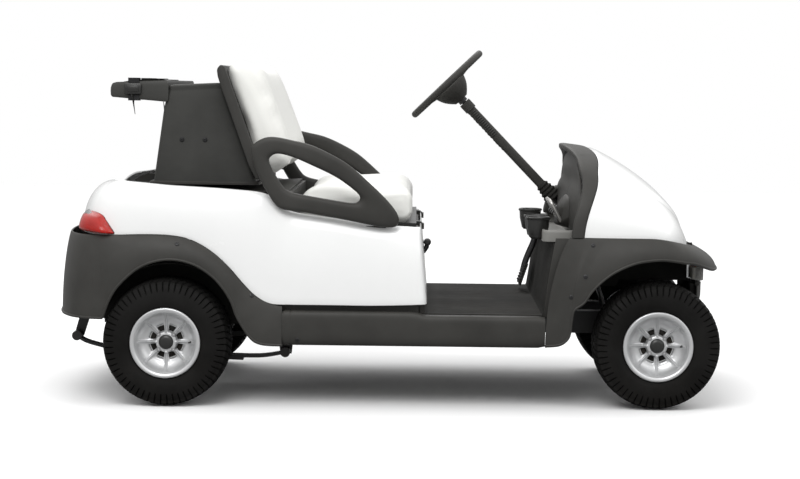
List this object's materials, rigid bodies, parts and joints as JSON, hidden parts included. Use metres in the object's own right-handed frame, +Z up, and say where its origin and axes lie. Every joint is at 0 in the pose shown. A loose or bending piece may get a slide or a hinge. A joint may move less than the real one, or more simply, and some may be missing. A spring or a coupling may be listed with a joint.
{
  "type": "golf cart",
  "caption": "Open golf cart with a bench seat that tips forward, a bag bay behind the seat, rack steering and free-rolling wheels.",
  "frame": {"origin": "on the ground below the middle of the length and width", "axes": "+X forward, +Y to the left, +Z up"},
  "size_m": [2.312, 1.2006, 1.2258],
  "materials": {
    "steel": "satin galvanised grey",
    "dark_steel": "satin black",
    "white_body": "gloss white",
    "black_plastic": "matte grained black",
    "grey_plastic": "matte light grey",
    "vinyl": "soft off-white vinyl",
    "tyre": "matte black",
    "rim": "satin silver",
    "red_lens": "clear red",
    "clear_lens": "clear",
    "mat": "ribbed black",
    "machined": "brushed",
    "cast": "rough dark",
    "tank": "milky"
  },
  "bodies": {
    "chassis": {"frame_rails": "steel", "floor_pan": "mat", "front_cowl": "white_body", "dash_trim": "black_plastic", "front_fenders": "black_plastic", "front_bumper": "black_plastic", "dash": "grey_plastic", "headlights": "clear_lens", "rocker_panels": "black_plastic", "rear_body": "white_body", "rear_fenders": "black_plastic", "seat_base": "white_body", "backrest_shell": "black_plastic", "backrest_cushion": "vinyl", "armrests": "black_plastic", "basket": "black_plastic", "bag_holder": "black_plastic", "bag_well": "black_plastic", "taillights": "red_lens", "steering_column": "black_plastic", "steering_rack": "machined", "pedals": "dark_steel", "direction_selector": "black_plastic", "front_suspension": "dark_steel", "shock_absorbers": "dark_steel", "rear_axle": "cast", "leaf_springs": "dark_steel", "engine_block": "cast", "fuel_tank": "tank", "battery": "black_plastic"},
    "seat": {"seat_pan": "black_plastic", "seat_cushion": "vinyl"},
    "steering": {"steering_wheel": "black_plastic"},
    "lower_shaft": {"lower_shaft": "machined"},
    "rack": {"tie_rods": "machined"},
    "knuckle_left": {"knuckle_left": "cast"},
    "knuckle_right": {"knuckle_right": "cast"},
    "front_left_wheel": {"front_left_tyre": "tyre", "front_left_rim": "rim"},
    "front_right_wheel": {"front_right_tyre": "tyre", "front_right_rim": "rim"},
    "rear_left_wheel": {"rear_left_tyre": "tyre", "rear_left_rim": "rim"},
    "rear_right_wheel": {"rear_right_tyre": "tyre", "rear_right_rim": "rim"}
  },
  "joints": [
    {"name": "right_kingpin", "type": "hinge", "parent": "chassis", "child": "knuckle_right", "pos_m": [0.895, -0.31, 0.217], "axis": [0, 0, 1], "range_deg": [-30, 30]},
    {"name": "left_kingpin", "type": "hinge", "parent": "chassis", "child": "knuckle_left", "pos_m": [0.895, 0.31, 0.217], "axis": [0, 0, 1], "range_deg": [-30, 30]},
    {"name": "steering_wheel_turn", "type": "hinge", "parent": "chassis", "child": "steering", "pos_m": [0.181, 0.29, 1.098], "axis": [-0.6947, 0, 0.7193], "range_deg": [-420, 420]},
    {"name": "lower_shaft_turn", "type": "hinge", "parent": "chassis", "child": "lower_shaft", "pos_m": [0.67004, 0.29, 0.59159], "axis": [-0.262, 0.5241, 0.8103], "range_deg": [-420, 420]},
    {"name": "rack_slide", "type": "slide", "parent": "chassis", "child": "rack", "axis": [0, 1, 0], "range_m": [-0.056, 0.056]},
    {"name": "seat_tip", "type": "hinge", "parent": "chassis", "child": "seat", "pos_m": [0.091, 0, 0.606], "axis": [0, 1, 0], "range_deg": [0, 55]},
    {"name": "front_left_wheel_spin", "type": "hinge", "parent": "knuckle_left", "child": "front_left_wheel", "pos_m": [0.895, 0.438, 0.217], "axis": [0, 1, 0], "continuous": true},
    {"name": "front_right_wheel_spin", "type": "hinge", "parent": "knuckle_right", "child": "front_right_wheel", "pos_m": [0.895, -0.438, 0.217], "axis": [0, 1, 0], "continuous": true},
    {"name": "rear_left_wheel_spin", "type": "hinge", "parent": "chassis", "child": "rear_left_wheel", "pos_m": [-0.769, 0.489, 0.217], "axis": [0, 1, 0], "continuous": true},
    {"name": "rear_right_wheel_spin", "type": "hinge", "parent": "chassis", "child": "rear_right_wheel", "pos_m": [-0.769, -0.489, 0.217], "axis": [0, 1, 0], "continuous": true}
  ],
  "couplings": [
    {"joint": "left_kingpin", "follows": "right_kingpin", "ratio": 1},
    {"joint": "steering_wheel_turn", "follows": "right_kingpin", "ratio": 14},
    {"joint": "lower_shaft_turn", "follows": "right_kingpin", "ratio": 14},
    {"joint": "rack_slide", "follows": "right_kingpin", "m_per_rad": -0.105}
  ]
}
